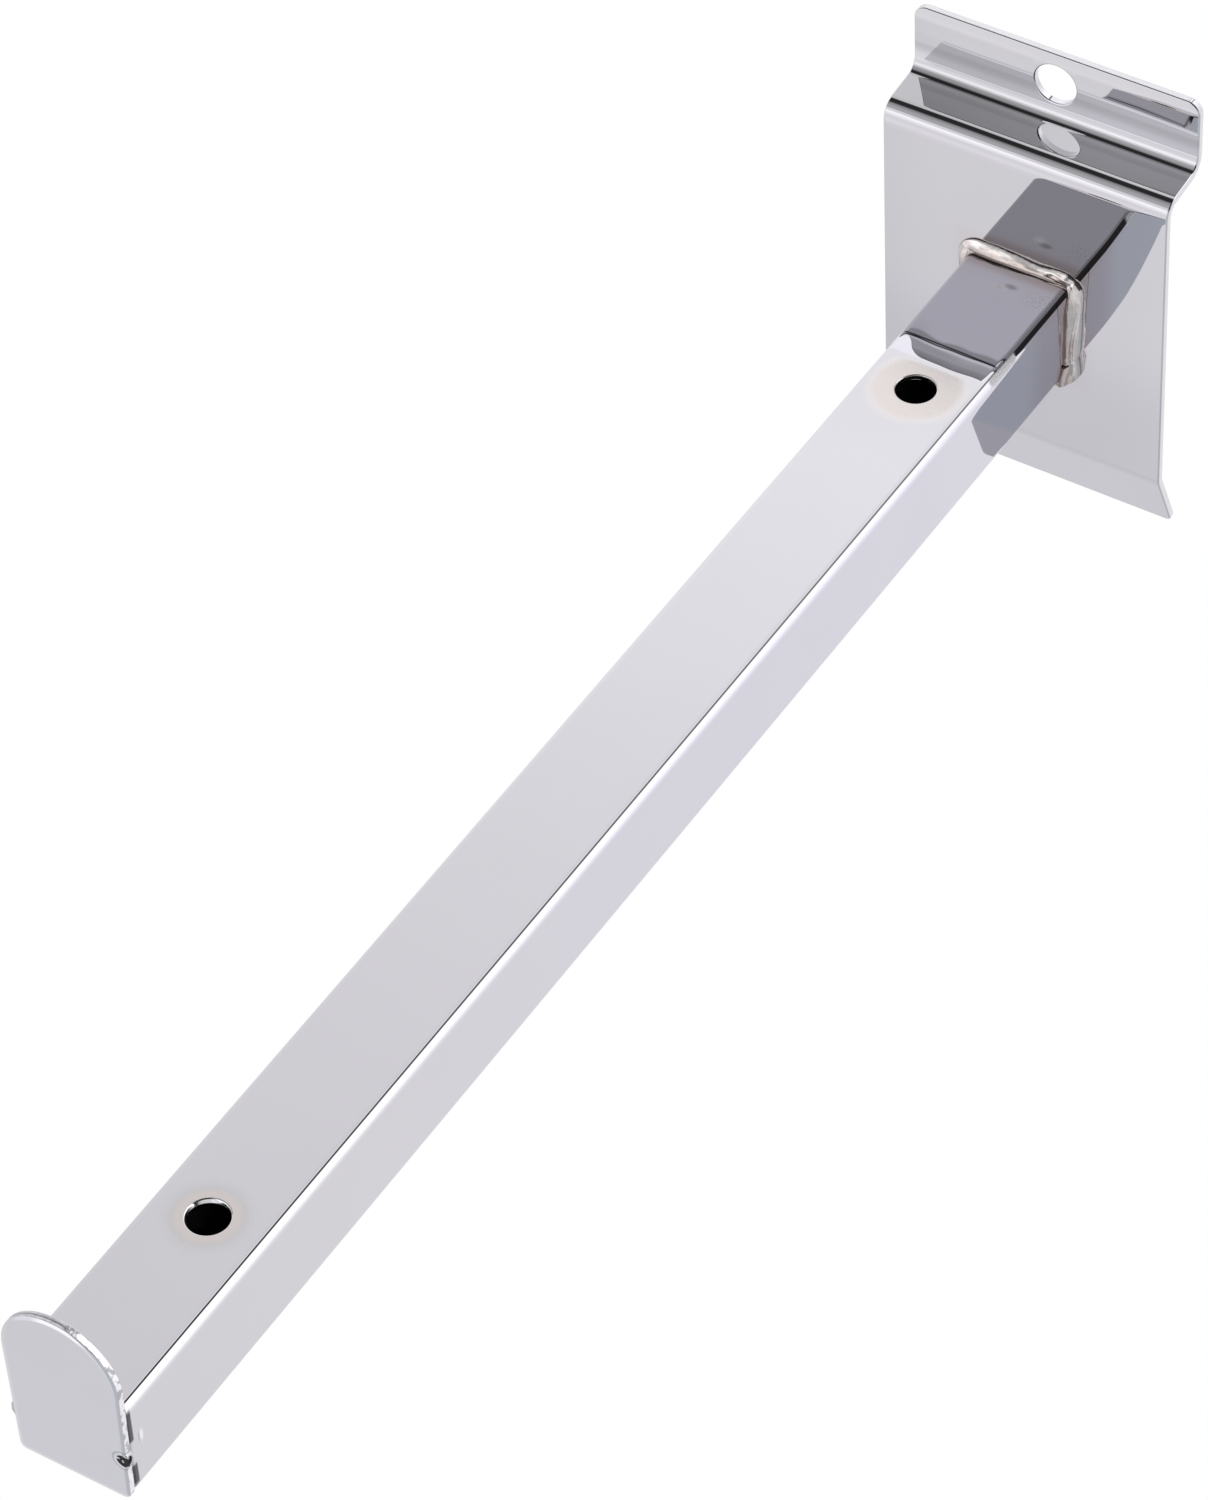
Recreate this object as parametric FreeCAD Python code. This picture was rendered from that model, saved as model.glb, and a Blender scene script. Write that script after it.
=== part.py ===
import FreeCAD, Part
import math
import os

# Slatwall shelf bracket: a square steel tube is welded to a folded back plate that hooks into
# the grooves of a slatwall panel, and an upright stop closes the tube's front end.
# The frame: the origin lies on the face that rests on the panel, on the arm's axis. X runs to
# the right as seen from the front, Y runs into the panel and Z runs up. Sizes are millimetres.

# Arm: square tube
arm_width = 20.0
arm_wall = 1.2
arm_corner_radius = 1.8
arm_length = 282.5

# Screw holes in the arm, for fixing a shelf that lies on it
screw_hole_diameter = 7.0
screw_hole_rim = 0.3
rear_hole_from_plate = 36.5
front_hole_from_stop = 36.0

# Back plate: one folded sheet
plate_thickness = 1.5
plate_width = 55.0
plate_rise_above_arm = 24.0
plate_drop_below_arm = 19.0
step_depth = 10.7
step_rise = 1.2
lip_height = 13.3
tail_drop = 13.0
tail_depth = 5.2

# Folds, each given by the radius on its inner side, and the sheet's corners in front view
front_fold_radius = 2.0
rear_fold_radius = 2.5
tail_fold_radius = 3.0
lip_corner_radius = 2.5
tail_corner_radius = 1.0

# Hole in the lip, for a screw that locks the bracket to the panel
lock_hole_diameter = 8.0
lock_hole_below_lip_top = 6.5

# End stop
stop_thickness = 1.5
stop_rise_above_arm = 14.45
stop_head_radius = 10.45
stop_foot_radius = 1.3

# Welds between the arm and the back plate; each side run ends in a wider foot
top_weld_leg_on_arm = 1.5
top_weld_leg_on_plate = 2.0
side_weld_leg_on_arm = 3.2
side_weld_leg_on_plate = 1.4
weld_foot_leg_on_arm = 4.4
weld_foot_leg_on_plate = 1.7
weld_foot_height = 3.6
weld_foot_below_arm = 0.6
weld_bulge = 0.9
weld_blob_radius = 2.1

# Tack welds between the end stop and the arm
tack_width = 2.8
tack_height = 0.7

# Places that follow from the sizes above
half_arm = arm_width / 2
half_plate = plate_width / 2
plate_front_y = -plate_thickness
arm_front_y = plate_front_y - arm_length
arm_top_z = half_arm
arm_bottom_z = -half_arm
fold_z = arm_top_z + plate_rise_above_arm
step_back_z = fold_z + step_rise
lip_front_y = plate_front_y + step_depth
lip_top_z = step_back_z + lip_height
tail_fold_z = arm_bottom_z - plate_drop_below_arm
tail_bottom_z = tail_fold_z - tail_drop

# Room that a cutting tool gets past the face it cuts through
overshoot = 1.0


def vector(x, y, z):
    return FreeCAD.Vector(x, y, z)


def line(start, end):
    return Part.makeLine(start, end)


def rounded_path(corners, radii):
    """Lines and tangent arcs along the corner points; radii are those of the inner corners."""
    edges = []
    start = corners[0]
    for before, corner, after, radius in zip(corners, corners[1:], corners[2:], radii):
        to_before = (before - corner).normalize()
        to_after = (after - corner).normalize()
        half_angle = to_before.getAngle(to_after) / 2
        arc_start = corner + to_before * (radius / math.tan(half_angle))
        arc_end = corner + to_after * (radius / math.tan(half_angle))
        bisector = (to_before + to_after).normalize()
        arc_middle = corner + bisector * (radius / math.sin(half_angle) - radius)
        edges.append(line(start, arc_start))
        edges.append(Part.Arc(arc_start, arc_middle, arc_end).toShape())
        start = arc_end
    edges.append(line(start, corners[-1]))
    return edges


def shifted_corners(corners, thickness):
    """The corner points of the same fold on the sheet's other face, to the rear."""
    directions = [(end - start).normalize() for start, end in zip(corners, corners[1:])]
    normals = [vector(0, direction.z, -direction.y) for direction in directions]
    shifted = [corners[0] + normals[0] * thickness]
    for corner, normal, next_normal in zip(corners[1:], normals, normals[1:]):
        shared = normal + next_normal
        shifted.append(corner + shared * (thickness / (1 + normal.dot(next_normal))))
    shifted.append(corners[-1] + normals[-1] * thickness)
    return shifted


def rounded_rectangle(width, low_z, high_z, low_radius, high_radius, y):
    """A wire in the plane at y, centred on X, with its own radius at the foot and the head."""
    half = width / 2
    middle = (low_z + high_z) / 2
    corners = [
        vector(half, y, middle),
        vector(half, y, high_z),
        vector(-half, y, high_z),
        vector(-half, y, low_z),
        vector(half, y, low_z),
        vector(half, y, middle),
    ]
    return Part.Wire(rounded_path(corners, [high_radius, high_radius, low_radius, low_radius]))


def cylinder_along(radius, start, end):
    axis = end - start
    return Part.makeCylinder(radius, axis.Length, start, axis)


def make_back_plate():
    front = [
        vector(-half_plate, plate_front_y + tail_depth, tail_bottom_z),
        vector(-half_plate, plate_front_y, tail_fold_z),
        vector(-half_plate, plate_front_y, fold_z),
        vector(-half_plate, lip_front_y, step_back_z),
        vector(-half_plate, lip_front_y, lip_top_z),
    ]
    rear = shifted_corners(front, plate_thickness)
    front_radii = [
        tail_fold_radius + plate_thickness,
        front_fold_radius + plate_thickness,
        rear_fold_radius,
    ]
    rear_radii = [
        tail_fold_radius,
        front_fold_radius,
        rear_fold_radius + plate_thickness,
    ]
    outline = rounded_path(front, front_radii)
    outline.append(line(front[-1], rear[-1]))
    outline += rounded_path(rear[::-1], rear_radii[::-1])
    outline.append(line(rear[0], front[0]))
    sheet = Part.Face(Part.Wire(outline)).extrude(vector(plate_width, 0, 0))

    lowest_z = min(front[0].z, rear[0].z)
    front_view = rounded_rectangle(
        plate_width, lowest_z, lip_top_z, tail_corner_radius, lip_corner_radius,
        plate_front_y - overshoot,
    )
    depth = step_depth + tail_depth + plate_thickness + 2 * overshoot
    sheet = sheet.common(Part.Face(front_view).extrude(vector(0, depth, 0)))

    lock_hole_z = lip_top_z - lock_hole_below_lip_top
    lock_hole = cylinder_along(
        lock_hole_diameter / 2,
        vector(0, lip_front_y - overshoot, lock_hole_z),
        vector(0, lip_front_y + plate_thickness + overshoot, lock_hole_z),
    )
    return sheet.cut(lock_hole)


def screw_hole_cutter(y):
    """A drill through both walls of the arm, with a rounded mouth at the top and the bottom."""
    radius = screw_hole_diameter / 2
    rim = screw_hole_rim
    below = arm_bottom_z - overshoot
    above = arm_top_z + overshoot
    wide = radius + rim
    bow = rim * (1 - math.sqrt(0.5))
    profile = [
        line(vector(0, y, below), vector(wide, y, below)),
        line(vector(wide, y, below), vector(wide, y, arm_bottom_z)),
        Part.Arc(
            vector(wide, y, arm_bottom_z),
            vector(radius + bow, y, arm_bottom_z + bow),
            vector(radius, y, arm_bottom_z + rim),
        ).toShape(),
        line(vector(radius, y, arm_bottom_z + rim), vector(radius, y, arm_top_z - rim)),
        Part.Arc(
            vector(radius, y, arm_top_z - rim),
            vector(radius + bow, y, arm_top_z - bow),
            vector(wide, y, arm_top_z),
        ).toShape(),
        line(vector(wide, y, arm_top_z), vector(wide, y, above)),
        line(vector(wide, y, above), vector(0, y, above)),
        line(vector(0, y, above), vector(0, y, below)),
    ]
    face = Part.Face(Part.Wire(profile))
    return face.revolve(vector(0, y, 0), vector(0, 0, 1), 360)


def square_bar(width, corner_radius):
    """A solid bar with rounded corners, as long as the arm and on its axis."""
    half = width / 2
    section = rounded_rectangle(width, -half, half, corner_radius, corner_radius, arm_front_y)
    return Part.Face(section).extrude(vector(0, arm_length, 0))


def make_arm_tube():
    hollow = square_bar(arm_width - 2 * arm_wall, arm_corner_radius - arm_wall)
    tube = square_bar(arm_width, arm_corner_radius).cut(hollow)
    for hole_y in (plate_front_y - rear_hole_from_plate, arm_front_y + front_hole_from_stop):
        tube = tube.cut(screw_hole_cutter(hole_y))
    return tube


def make_end_stop():
    """A plate as wide as the arm at its foot, with straight sides that run into a round head."""
    y = arm_front_y - stop_thickness
    head_z = arm_top_z + stop_rise_above_arm - stop_head_radius
    drop = head_z - arm_bottom_z
    slope = math.atan2(drop, half_arm) - math.acos(stop_head_radius / math.hypot(drop, half_arm))
    touch_x = stop_head_radius * math.cos(slope)
    touch_z = head_z - stop_head_radius * math.sin(slope)
    left = vector(-touch_x, y, touch_z)
    right = vector(touch_x, y, touch_z)
    foot = [left, vector(-half_arm, y, arm_bottom_z), vector(half_arm, y, arm_bottom_z), right]
    edges = rounded_path(foot, [stop_foot_radius, stop_foot_radius])
    crown = vector(0, y, head_z + stop_head_radius)
    edges.append(Part.Arc(right, crown, left).toShape())
    return Part.Face(Part.Wire(edges)).extrude(vector(0, stop_thickness, 0))


def weld_section(corner, outward, leg_on_arm, leg_on_plate):
    """A weld bead's section: a triangle on the arm and the plate with a bulging face."""
    on_arm = corner + vector(0, -leg_on_arm, 0)
    on_plate = corner + outward * leg_on_plate
    middle = (on_arm + on_plate) * 0.5
    crown = middle + (middle - corner).normalize() * weld_bulge
    edges = [
        line(corner, on_arm),
        Part.Arc(on_arm, crown, on_plate).toShape(),
        line(on_plate, corner),
    ]
    return Part.Face(Part.Wire(edges))


def make_weld_top():
    """The run across the arm's top and round its two upper corners, with a blob at its start."""
    straight = arm_width - 2 * arm_corner_radius
    centre_z = half_arm - arm_corner_radius
    section = weld_section(
        vector(-straight / 2, plate_front_y, arm_top_z), vector(0, 0, 1),
        top_weld_leg_on_arm, top_weld_leg_on_plate,
    )
    run = section.extrude(vector(straight, 0, 0))
    left_turn = section.revolve(vector(-straight / 2, 0, centre_z), vector(0, 1, 0), -90)
    right_section = section.translated(vector(straight, 0, 0))
    right_turn = right_section.revolve(vector(straight / 2, 0, centre_z), vector(0, 1, 0), 90)

    off_axis = centre_z + arm_corner_radius * math.sqrt(0.5)
    blob = Part.makeSphere(weld_blob_radius, vector(-off_axis, plate_front_y, off_axis))
    front_of_plate = Part.makeBox(2 * arm_width, arm_width, 2 * arm_width)
    front_of_plate.translate(vector(-arm_width, plate_front_y - arm_width, 0))
    run = run.fuse([left_turn, right_turn, blob.common(front_of_plate)])
    return run.cut(square_bar(arm_width, arm_corner_radius)).removeSplitter()


def side_weld_length(side, low_z, high_z, leg_on_arm, leg_on_plate):
    """A straight length of weld beside the arm, which also fills the room by a rounded corner."""
    height = high_z - low_z
    section = weld_section(
        vector(side * half_arm, plate_front_y, low_z), vector(side, 0, 0),
        leg_on_arm, leg_on_plate,
    )
    bead = section.extrude(vector(0, 0, height))
    filler = Part.makeBox(arm_corner_radius, leg_on_arm, height)
    filler_x = min(side * half_arm, side * (half_arm - arm_corner_radius))
    filler.translate(vector(filler_x, plate_front_y - leg_on_arm, low_z))
    return bead.fuse(filler)


def make_weld_side(side, weld_top):
    """The run down one side of the arm, with a wider foot that ends just below the arm."""
    foot_z = arm_bottom_z - weld_foot_below_arm
    run = side_weld_length(
        side, foot_z, half_arm - arm_corner_radius, side_weld_leg_on_arm, side_weld_leg_on_plate,
    )
    foot = side_weld_length(
        side, foot_z, foot_z + weld_foot_height, weld_foot_leg_on_arm, weld_foot_leg_on_plate,
    )
    arm = square_bar(arm_width, arm_corner_radius)
    return run.fuse(foot).cut([arm, weld_top]).removeSplitter()


def make_tack(side, end_stop):
    """A low round button across the joint between the sides of the end stop and the arm."""
    half_width = tack_width / 2
    radius = (half_width ** 2 + tack_height ** 2) / (2 * tack_height)
    flank_x = side * half_arm
    ball = Part.makeSphere(radius, vector(flank_x - side * (radius - tack_height), arm_front_y, 0))
    room = Part.makeBox(radius, 2 * radius, 2 * radius)
    room.translate(vector(min(flank_x, flank_x + side * radius), arm_front_y - radius, -radius))
    return ball.common(room).cut(end_stop)


def write_part(name, shape):
    shape.exportStep(os.path.join("parts", name + ".step"))


def main():
    os.makedirs("parts", exist_ok=True)
    end_stop = make_end_stop()
    weld_top = make_weld_top()
    write_part("back_plate", make_back_plate())
    write_part("arm_tube", make_arm_tube())
    write_part("end_stop", end_stop)
    write_part("weld_top", weld_top)
    for name, side in (("right", 1), ("left", -1)):
        write_part("weld_" + name, make_weld_side(side, weld_top))
        write_part("tack_" + name, make_tack(side, end_stop))


main()
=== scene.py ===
import functools
import math

import bpy
from mathutils import Matrix, Vector, noise


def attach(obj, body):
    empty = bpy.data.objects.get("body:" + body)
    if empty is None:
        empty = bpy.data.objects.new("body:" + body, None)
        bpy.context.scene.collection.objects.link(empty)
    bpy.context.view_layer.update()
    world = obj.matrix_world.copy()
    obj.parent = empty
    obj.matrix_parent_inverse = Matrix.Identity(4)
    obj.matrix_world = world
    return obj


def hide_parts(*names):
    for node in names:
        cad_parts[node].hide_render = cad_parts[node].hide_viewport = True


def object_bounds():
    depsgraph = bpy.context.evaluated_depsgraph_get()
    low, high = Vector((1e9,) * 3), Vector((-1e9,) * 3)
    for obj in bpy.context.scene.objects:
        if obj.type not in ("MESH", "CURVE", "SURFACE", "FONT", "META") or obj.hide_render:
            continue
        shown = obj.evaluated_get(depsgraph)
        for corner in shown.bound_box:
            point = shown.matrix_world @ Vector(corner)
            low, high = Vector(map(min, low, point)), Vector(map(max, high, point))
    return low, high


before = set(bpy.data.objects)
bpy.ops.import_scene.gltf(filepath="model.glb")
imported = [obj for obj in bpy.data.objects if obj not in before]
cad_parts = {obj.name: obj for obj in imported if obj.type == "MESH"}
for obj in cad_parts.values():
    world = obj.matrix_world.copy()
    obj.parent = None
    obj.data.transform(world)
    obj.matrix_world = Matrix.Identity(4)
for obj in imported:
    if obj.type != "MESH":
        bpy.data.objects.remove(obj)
cad_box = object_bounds()

# The scene dresses a chrome-plated slatwall shelf bracket. Lengths are metres in the frame of
# the solids: X to the right seen from the front, Y into the wall panel, Z up.
MM = 0.001

# Camera, as fitted to the photograph
CAMERA_PLACE = Vector((391.8, -710.5, 717.2)) * MM
CAMERA_AZIMUTH = math.radians(34.334)
CAMERA_ELEVATION = math.radians(45.481)
CAMERA_ROLL = math.radians(-3.220)
CAMERA_LENS = 149.64
CAMERA_SENSOR = 36.0
CAMERA_REACH = 50

# Studio: how bright it looks from the bracket along two upright half circles, one to the left
# and one to the right. An angle of 0 looks to the front, 90 up and 180 to the rear, in degrees.
LEFT_LEVELS = [
    (-180, 1.00), (-150, 0.95), (-131, 0.90), (-90, 0.86), (-52, 0.81), (-47.5, 0.83),
    (-43.5, 0.90), (-28, 1.02), (-2, 0.92), (25, 1.40), (29.5, 0.95), (41.6, 0.90),
    (42.6, 0.56), (43.5, 0.50), (47, 0.525), (52, 0.525), (57, 0.505), (61, 0.43),
    (68, 0.38), (73, 0.25), (78, 0.03), (100, 0.03), (106, 0.80), (112, 0.82),
    (121, 0.84), (129, 0.96), (133, 1.08), (145, 1.15),
]
RIGHT_LEVELS = [
    (-180, 1.10), (-145, 1.00), (-129, 0.94), (-118, 0.88), (-100, 0.66), (-90, 0.63),
    (-52, 0.655), (-25, 0.64), (0, 0.70), (22, 0.60), (30, 0.03), (80, 0.03), (104, 0.05),
    (110, 1.30), (116, 1.50), (130, 1.50), (146, 1.28), (160, 1.18),
]
# Where things in the studio begin and are full: how far a direction of length 1 looks to the
# right, up or to the front
LEFT_TO_RIGHT = (-0.10, 0.10)
GAP_LEFT_END = (-0.02, 0.02)
GAP_RIGHT_END = (0.15, 0.11)
GAP_FOOT = (0.3, 0.5)
GAP_DARK_TOP = (0.76, 0.90)
GAP_LEVELS = (0.30, 0.03)
BELOW = (0.0, -0.3)
TO_THE_RIGHT = (-0.2, 0.3)
TO_THE_FRONT = (0.0, 0.5)
STUDIO_TINT = (0.985, 0.975, 1.0)
FLOOR_TINT = (0.90, 0.95, 1.0)
FLOOR_DROP = 1.5
FLOOR_HALF_WIDTH = 6.0
FLOOR_COLOUR = (0.8, 0.8, 0.8)
WHITE = (1, 1, 1)

# Sizes of the solids that the finer meshes repeat, in millimetres
ARM_HALF = 10.0
ARM_WALL = 1.2
ARM_CORNER = 1.8
ARM_FRONT_Y = -284.0
SCREW_HOLE_RADIUS = 3.5
FRONT_HOLE_Y = -248.0
REAR_HOLE_Y = -38.0
PLATE_HALF = 27.5
SHEET = 1.5
PLATE_FRONT_Y = -SHEET
PLATE_FRONT_LINE = [(3.7, -42.0), (-1.5, -29.0), (-1.5, 34.0), (9.2, 35.2), (9.2, 48.5)]
PLATE_FRONT_RADII = [4.5, 3.5, 2.5]
PLATE_TAIL_CORNER = 1.0
PLATE_LIP_CORNER = 2.5
LOCK_HOLE_RADIUS = 4.0
LOCK_HOLE_BELOW_TOP = 6.5
STOP_FRONT_Y = ARM_FRONT_Y - SHEET
STOP_HEAD_RADIUS = 10.45
STOP_HEAD_Z = 14.0
STOP_FOOT_RADIUS = 1.3

# How finely the meshes are divided: steps to a fold, an edge or a corner
PLATE_FOLD_STEPS = 20
TUBE_EDGE_STEPS = 16
PLATE_CORNER_STEPS = 8
STOP_FOOT_STEPS = 8
STOP_HEAD_STEPS = 48
RIM_STEPS = 4
# A hole lies in a square block of rows and columns, this much wider than the hole's rim
BLOCK_STEPS = 16
BLOCK_MARGIN = 0.15
# Rows across the plate: even ones, and close ones below the step. Columns to each side of its
# middle: those beyond the fixed half follow the rounded corners. A row keeps clear of the hole's
# block, and of the next row.
PLATE_EVEN_ROWS = 24
PLATE_STEP_ROWS = [0.35 * step for step in range(1, 11)]
PLATE_COLUMNS = [27.2, 26.2, 25.2, 24.2, 23.0, 21.5, 20.0, 16.0, 12.0, 8.0, 6.0]
PLATE_FIXED_HALF = 20.0
PLATE_ROW_CLEARANCE = 0.05
PLATE_ROW_LEAST = 0.02
# Rows along the tube at both sides of the middle of its top and bottom, on its sides, and past
# the edge at the right of the top, in millimetres
TUBE_FACE_ROWS = (5.0, 6.2, 7.2)
TUBE_SIDE_ROWS = [1.6 * step for step in range(-4, 5)]
TUBE_EDGE_ROWS = (3.0, 3.2, 3.5, 3.8, 4.2, 4.6, 5.0)
# Columns across the tube: even ones in front, finer ones near the weld and round the painted
# reflection's end
TUBE_EVEN_COLUMNS = 95
TUBE_EVEN_UP_TO_Y = -33
TUBE_HOLE_CLEARANCE = 0.3
TUBE_WELD_COLUMNS = [-2.5 - 0.75 * step for step in range(40)]
TUBE_PLATE_REFLECTION_COLUMNS = [-20.0 - 0.25 * step for step in range(46)]

# Worn rims, and how much a sheared sheet rolls back towards its edges and its upper fold
RIM = 0.3
END_RIM = 0.55
ROLL_START = 18.0
ROLL_RATE = 0.0055
FOLD_ROLL = 0.05
FOLD_ROLL_BEFORE = 1.0
FOLD_ROLL_AFTER = 1.2

# The stop's front rolls off over this width, to this lean outwards in radians at its rim
STOP_ROLL = 0.7
STOP_LEAN = 0.5

# The lip leans a little to the front and rolls back at its top: the surface's tilt at a length in
# millimetres below the lip's top
LIP_TILTS = [
    (-11.0, 0.0), (-8.5, -0.02), (-6.2, -0.02), (-5.0, 0.0), (-2.8, 0.0), (-2.2, 0.10),
    (-1.8, 0.18), (0.0, 0.26),
]

# The drawn tube's edge at the right of the top: how far the surface has turned, in degrees, at a
# length in millimetres from where the edge's arc starts. The arc of a plain edge ends at 2.83.
EDGE_TURNS = [
    (0.45, 0), (0.85, 11.5), (1.38, 19.5), (2.1, 34), (2.7, 52), (3.3, 73), (4.0, 88), (4.8, 90),
]
# The same at the left of the top, which is bent more sharply
LEFT_EDGE_TURNS = [(0.2, 0), (1.5, 7), (1.92, 13), (2.3, 50), (2.83, 90)]

# The front screw hole's edge in the top is worn: it looks up, this many degrees from the face
HOLE_FLARE = 60

# The weld has pulled the tube's top up a little towards the plate, and its right side outwards
SIDE_TILTS = [(-50.0, 0.0), (-44.0, 0.032), (-1.0, 0.035)]
PULL_TILTS = [
    (-37.0, 0.0), (-31.0, 0.022), (-27.9, 0.026), (-26.5, 0.046), (-20.0, 0.046), (-12.0, 0.043),
    (-1.0, 0.043),
]
PULL_WAVE = 0.006

# Weld beads: the bead's height along the tube and along the plate, in millimetres, and how
# hollow its section is, at a length along the tube's outline from the middle of its top. Below
# zero is to the left. A hollowness of 0 is a square section, 1 a round and 2 a straight one.
TOP_BEAD = [
    (-15.6, 0.35, 1.9, 1.2), (-14.9, 0.6, 2.45, 1.2), (-12.6, 0.8, 2.6, 1.2),
    (-10.8, 1.1, 2.5, 1.2), (-9.4, 1.4, 2.25, 1.35), (-7.5, 1.6, 2.15, 1.45),
    (-5.0, 1.65, 2.15, 1.45), (-1.5, 1.65, 1.95, 1.45), (1.5, 1.65, 1.6, 1.4),
    (3.4, 1.6, 1.5, 1.4), (5.5, 1.6, 1.7, 1.45), (7.2, 1.6, 1.85, 1.5),
    (8.6, 1.4, 1.8, 1.5), (9.6, 1.2, 1.6, 1.5), (10.4, 0.8, 1.1, 1.4),
]
SIDE_BEAD = [
    (8.9, 0.8, 0.9, 1.4), (9.6, 1.4, 1.8, 1.4), (10.8, 1.9, 2.1, 1.3), (12.0, 2.4, 2.1, 1.1),
    (15.0, 2.7, 1.95, 0.95), (20.0, 2.8, 1.85, 0.95), (24.0, 2.9, 1.7, 0.95),
    (25.5, 3.0, 1.45, 1.0), (26.4, 3.5, 1.5, 1.15), (27.6, 4.2, 1.65, 1.25),
    (28.8, 4.7, 1.75, 1.3), (29.6, 4.6, 1.75, 1.3), (30.1, 4.2, 1.6, 1.2),
]
# A bead reaches in to its root, under the tube's outline, and thins out over its ends
BEAD_STEP = 0.16
BEAD_SECTION_STEPS = 30
BEAD_ROOT = 0.9
BEAD_END = 0.35
BEAD_RIPPLE = 0.006
# How large the wide and the fine lumps are, on the beads beside the tube and on the top one
SIDE_LUMPS = (0.10, 0.025)
TOP_LUMPS = (0.05, 0.012)

# Tacks between the tube and the stop: a flat drop of metal with a raised ring, at this part of
# its radius, and a sunken middle
TACK_RADIUS = 1.75
TACK_HEIGHT = 0.55
TACK_MIDDLE_Y = -284.8
TACK_MIDDLE_Z = -1.0
TACK_RING = 0.62
TACK_FLATTENED = 0.72
TACK_TURNS = 40
TACK_RINGS = 14

# Plating: two colours that a wide noise mixes, the roughness of both, and how deep it waves
CHROME_DARK = (0.69, 0.685, 0.71)
CHROME_LIGHT = (0.71, 0.705, 0.73)
CHROME_ROUGHNESS = (0.008, 0.025)
CHROME_WAVE = 0.006

# Marks on the metal, and painted light and shade. A tint is a colour that multiplies the plating's,
# and the ramps whose product is its mask. A ramp is 0 at its first place and 1 at its second, in
# millimetres along an axis, or away from x = 0 (wide), from z = 0 (high) or from the farther of the
# two (out). With "faces" it runs along that part of the surface's direction.
AXES = {"x": (1, 0, 0), "y": (0, 1, 0), "z": (0, 0, 1), "slant": (0, 1, 0.1)}
# The tube's top and bottom, and its right side
ON_FACES = ("high", 9.6, 9.9)
ON_RIGHT = ("x", 9.6, 9.9)
TUBE_HEAT = [((0.97, 0.92, 0.885), ("y", -10, -3))]
# Painted reflection of the plate on the top and bottom: a shade near the weld, and a darker zone
# with a lighter end
PLATE_REFLECTION = [ON_FACES, ("y", -31.4, -30.6)]
PLATE_REFLECTION_TINTS = [
    ((0.96, 0.965, 1.0), ON_FACES, ("y", -27.5, -24.0)),
    ((0.84, 0.84, 0.86), *PLATE_REFLECTION),
    ((1.32, 1.31, 1.33), *PLATE_REFLECTION, ("y", -26.6, -27.4)),
]
TUBE_TINTS = [
    # The upper left edge near the plate, darkened as a painted reflection of the plate
    (
        (0.25, 0.25, 0.26), ("faces x", -0.25, -0.45), ("faces x", -0.985, -0.93),
        ("y", -26.0, -25.0), ("z", 7.5, 8.2),
    ),
    # Painted light: the middle of the arm a little bluer on its right and lighter on its top
    ((0.985, 0.98, 1.03), ON_RIGHT, ("y", -230, -110)),
    ((1.03, 1.04, 1.04), ON_FACES, ("y", -200, -100), ("y", -35, -60)),
    # Burns beside the beads, and the dark line along the right bead's toe
    ((0.80, 0.76, 0.73), ON_FACES, ("y", -6.4, -4.0)),
    ((0.87, 0.80, 0.80), ON_RIGHT, ("y", -20, -10)),
    ((0.94, 0.93, 0.93), ON_RIGHT, ("slant", -6.3, -6.1)),
    ((0.45, 0.43, 0.42), ON_RIGHT, ("slant", -6.4, -6.26), ("slant", -6.0, -6.14)),
]
PLATE_TINTS = [
    # Heat round the weld; and painted shade, the plate darker below it
    ((0.985, 0.955, 0.94), ("out", 15.0, 11.0), ("y", -0.5, -1.2)),
    ((0.92, 0.925, 0.94), ("z", 2, -16)),
    # Painted shade and painted light: a dark and a light band at the lip's foot; and the lip above
    # its hole
    ((0.88, 0.88, 0.88), ("z", 41.2, 40.4), ("z", 38.6, 40.4)),
    ((1.14, 1.14, 1.14), ("z", 39.6, 38.0), ("z", 36.8, 37.4)),
    ((0.985, 0.985, 0.975), ("z", 43.6, 44.6)),
    # Painted shade on the left half of the step
    ((0.86, 0.87, 0.86), ("y", 0.5, 1.5), ("z", 36.5, 35.8), ("z", 33.0, 33.6), ("x", 14, -18)),
]
AT_PLATE = ("y", -20, -19)
TOP_RUN = [("z", 9.9, 10.2), AT_PLATE]
SIDE_RUN = [("z", 10.2, 9.4), AT_PLATE]
WELD_TINTS = [
    # The top bead's left end, and the tacks at the stop
    ((0.80, 0.79, 0.79), ("x", -8.0, -11.0)),
    ((0.80, 0.84, 0.88), ("y", -270, -280)),
    # Painted shade on the beads' front strands
    ((0.74, 0.70, 0.67), *TOP_RUN, ("y", -2.3, -2.8)),
    ((0.80, 0.76, 0.74), *SIDE_RUN, ("y", -3.2, -3.7)),
    # Painted highlights along the beads' ridges
    ((1.22, 1.21, 1.20), *TOP_RUN, ("y", -1.85, -2.0), ("y", -2.6, -2.3)),
    ((1.16, 1.16, 1.16), *SIDE_RUN, ("y", -2.4, -2.6), ("y", -3.2, -3.0)),
    # Painted shade: dark lines in the creases where the beads meet the tube and the plate
    ((0.45, 0.42, 0.40), *TOP_RUN, ("z", 10.45, 10.25), ("wide", 10.1, 9.7)),
    ((0.50, 0.47, 0.46), *SIDE_RUN, ("wide", 10.45, 10.2)),
    ((0.50, 0.48, 0.47), AT_PLATE, ("y", -1.85, -1.7)),
]

# Burnt rings round the screw holes, which end where the painted reflection of the plate starts:
# the hole's place along the arm, a colour and two radii
HALOS = [
    (FRONT_HOLE_Y, (0.655, 0.65, 0.655), 5.2, 8.2),
    (FRONT_HOLE_Y, (0.72, 0.675, 0.65), 4.5, 6.0),
    (REAR_HOLE_Y, (0.85, 0.80, 0.77), 6.5, 9.6),
]
HALO_END = ("y", -31.5, -32.7)
HALO_ROUGHNESS = 0.32
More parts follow.
